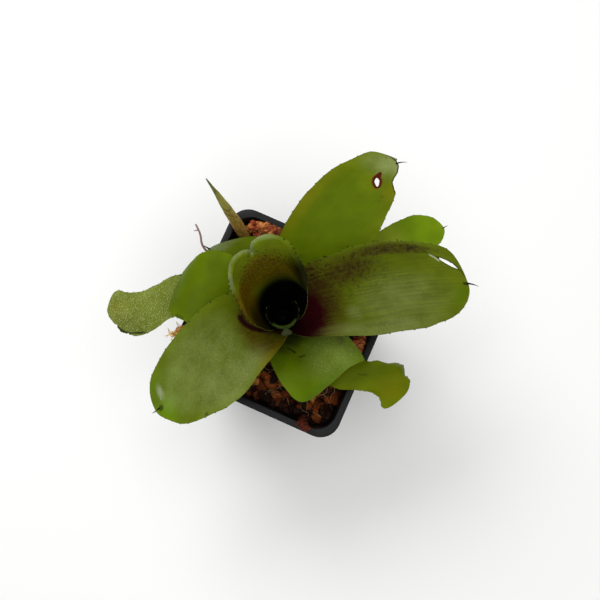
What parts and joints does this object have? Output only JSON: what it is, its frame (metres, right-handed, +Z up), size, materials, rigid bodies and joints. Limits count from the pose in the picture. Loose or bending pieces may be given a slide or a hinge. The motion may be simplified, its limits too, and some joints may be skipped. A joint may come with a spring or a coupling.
{
  "type": "potted bromeliad",
  "caption": "Bromeliad with an open rosette of broad strap leaves round a tubular central cup, growing in a square plastic nursery pot that is filled with husk chips.",
  "frame": {"origin": "middle of the pot's flat underside", "axes": "+Z up, with the pot's four sides facing X and Y. The broadest leaf points between +X and +Y, and the pointed offset leans out between -X and +Y"},
  "size_m": [0.1585, 0.1572, 0.1631],
  "materials": {
    "pot_plastic": "black polypropylene, lightly dusty",
    "husk": "dry coconut husk and bark",
    "stem": "pale green plant tissue",
    "cup_leaf": "waxy leaf, brown and grey inside the cup",
    "upper_leaf": "waxy leaf with grey scurf and a wine-red base",
    "middle_leaf": "smooth waxy leaf, bright green",
    "old_leaf": "older leaf with pale speckles and dry margins",
    "offset": "tan bracts with a green tip"
  },
  "bodies": {
    "root": {"pot": "pot_plastic", "substrate": "husk", "stem": "stem", "leaf_cup_inner": "cup_leaf", "leaf_cup_outer": "cup_leaf", "leaf_upper_left": "upper_leaf", "leaf_upper_right": "upper_leaf", "leaf_middle_left": "middle_leaf", "leaf_middle_front": "middle_leaf", "leaf_middle_back": "middle_leaf", "leaf_old_left": "old_leaf", "leaf_old_right": "old_leaf", "leaf_old_back_left": "old_leaf", "leaf_old_back_right": "old_leaf", "offset_shoot": "offset"}
  },
  "joints": []
}
